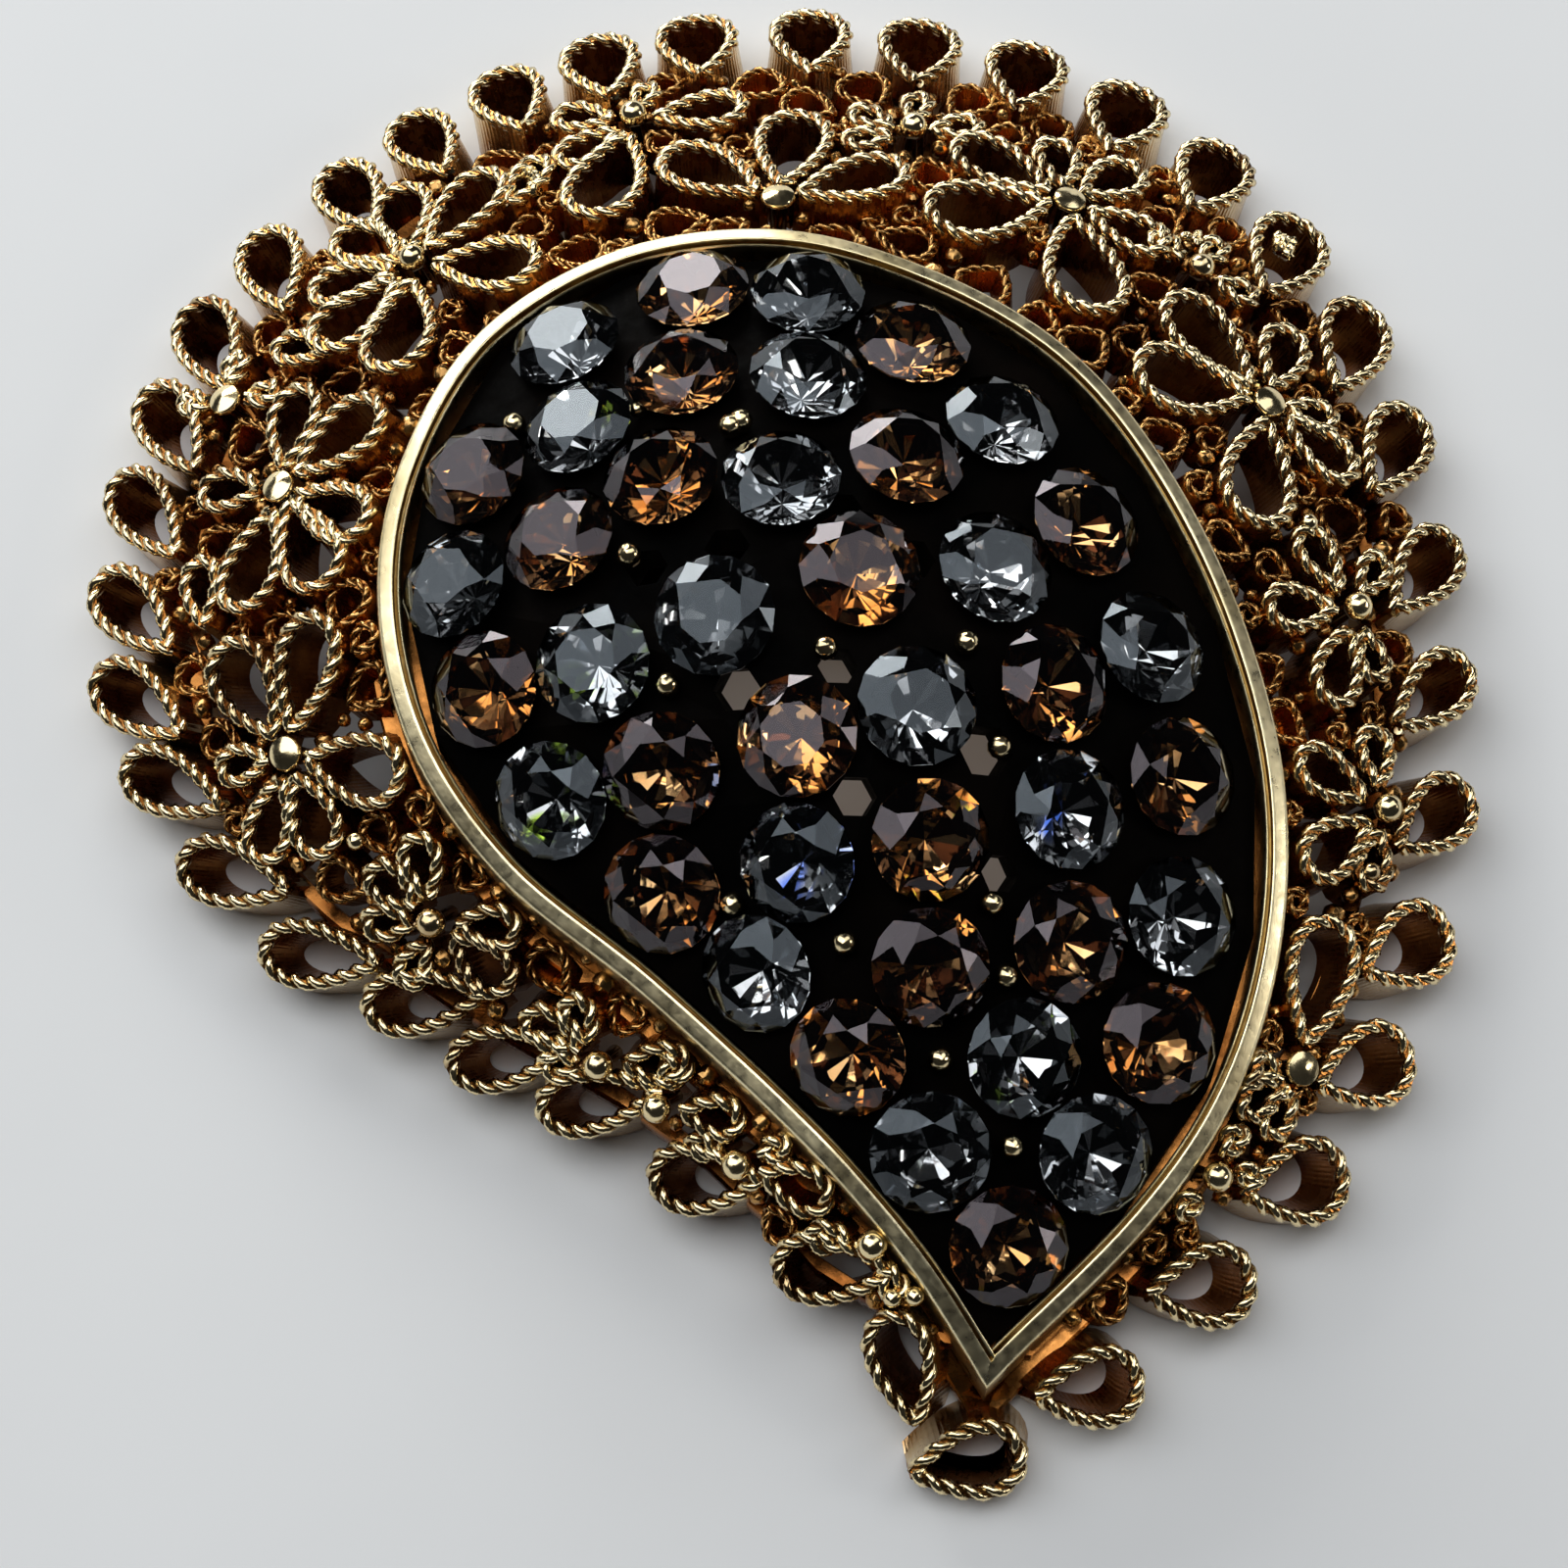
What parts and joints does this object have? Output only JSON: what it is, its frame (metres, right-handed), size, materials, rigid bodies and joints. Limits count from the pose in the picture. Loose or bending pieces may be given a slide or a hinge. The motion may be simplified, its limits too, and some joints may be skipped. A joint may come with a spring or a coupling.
{
  "type": "filigree brooch",
  "caption": "Pear-shaped domed brooch of soldered strip filigree round a polished band and a field of small cut stones, with a pin on its back.",
  "frame": {"origin": "middle of the bounding box in plan, on the plane that the brooch's back lies on", "axes": "+Z is the face of the brooch, -Y the pointed end of the pear, +X to the right as it is seen from the face"},
  "size_m": [0.0483, 0.0546, 0.0121],
  "materials": {
    "filigree_gold": "aged, satin",
    "band_gold": "polished, worn",
    "black_plate": "dull",
    "pin_gold": "satin",
    "smoke_stone": "cut, foil backed",
    "topaz_stone": "cut, foil backed"
  },
  "bodies": {
    "root": {"filigree_frame": "filigree_gold", "bezel_band": "band_gold", "stone_plate": "black_plate", "pin_clasp": "pin_gold", "stone_smoke_01": "smoke_stone", "stone_topaz_02": "topaz_stone", "stone_smoke_03": "smoke_stone", "stone_topaz_04": "topaz_stone", "stone_smoke_05": "smoke_stone", "stone_topaz_06": "topaz_stone", "stone_smoke_07": "smoke_stone", "stone_topaz_08": "topaz_stone", "stone_smoke_09": "smoke_stone", "stone_topaz_10": "topaz_stone", "stone_smoke_11": "smoke_stone", "stone_topaz_12": "topaz_stone", "stone_smoke_13": "smoke_stone", "stone_topaz_14": "topaz_stone", "stone_smoke_15": "smoke_stone", "stone_topaz_16": "topaz_stone", "stone_smoke_17": "smoke_stone", "stone_topaz_18": "topaz_stone", "stone_smoke_19": "smoke_stone", "stone_topaz_20": "topaz_stone", "stone_topaz_21": "topaz_stone", "stone_smoke_22": "smoke_stone", "stone_topaz_23": "topaz_stone", "stone_smoke_24": "smoke_stone", "stone_topaz_25": "topaz_stone", "stone_smoke_26": "smoke_stone", "stone_topaz_27": "topaz_stone", "stone_smoke_28": "smoke_stone", "stone_topaz_29": "topaz_stone", "stone_smoke_30": "smoke_stone", "stone_topaz_31": "topaz_stone", "stone_smoke_32": "smoke_stone", "stone_topaz_33": "topaz_stone", "stone_smoke_34": "smoke_stone", "stone_topaz_35": "topaz_stone", "stone_smoke_36": "smoke_stone", "stone_topaz_37": "topaz_stone", "stone_smoke_38": "smoke_stone", "stone_topaz_39": "topaz_stone", "stone_topaz_40": "topaz_stone", "stone_smoke_41": "smoke_stone"}
  },
  "joints": []
}
